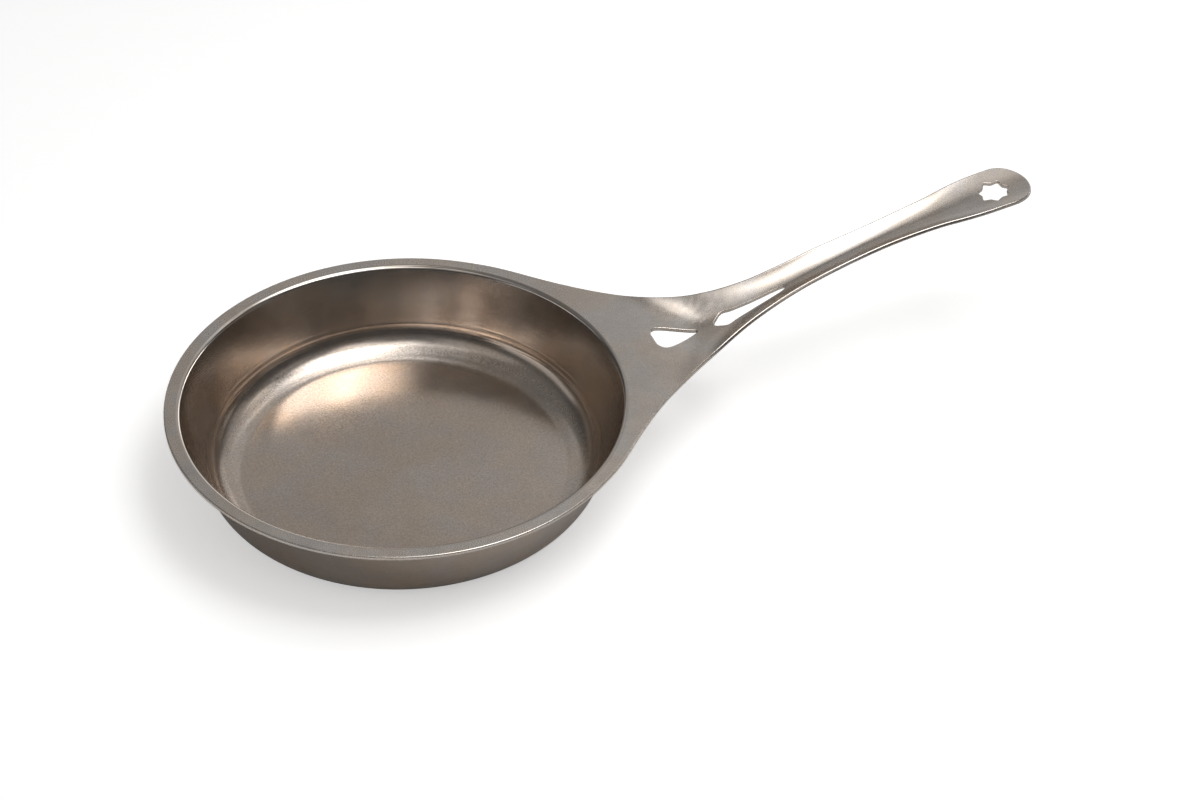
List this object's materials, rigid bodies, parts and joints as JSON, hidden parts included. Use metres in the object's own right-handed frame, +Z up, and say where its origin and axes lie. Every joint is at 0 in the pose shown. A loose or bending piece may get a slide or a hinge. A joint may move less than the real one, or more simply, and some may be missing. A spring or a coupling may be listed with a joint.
{
  "type": "omelette pan",
  "caption": "Seamless omelette pan pressed from one steel sheet: flat floor, leaning wall, flat rim flange that widens into a rising gutter-shaped handle with vents and a star hanging hole.",
  "frame": {"origin": "centre of the flat base underside, on the bowl's axis, where the pan stands", "axes": "+Z up out of the bowl, +X from the bowl's axis out along the handle, +Y across the handle; the pan is mirror-symmetric about the XZ plane"},
  "size_m": [0.528, 0.27, 0.103],
  "materials": {
    "satin_steel": "bare steel, finely brushed satin with a warm grey tone"
  },
  "bodies": {
    "root": {"cooking_floor": "satin_steel", "base_corner": "satin_steel", "side_wall": "satin_steel", "rim_flange": "satin_steel", "rim_gusset": "satin_steel", "handle_root": "satin_steel", "handle_neck": "satin_steel", "handle_grip": "satin_steel", "handle_end": "satin_steel"}
  },
  "joints": []
}
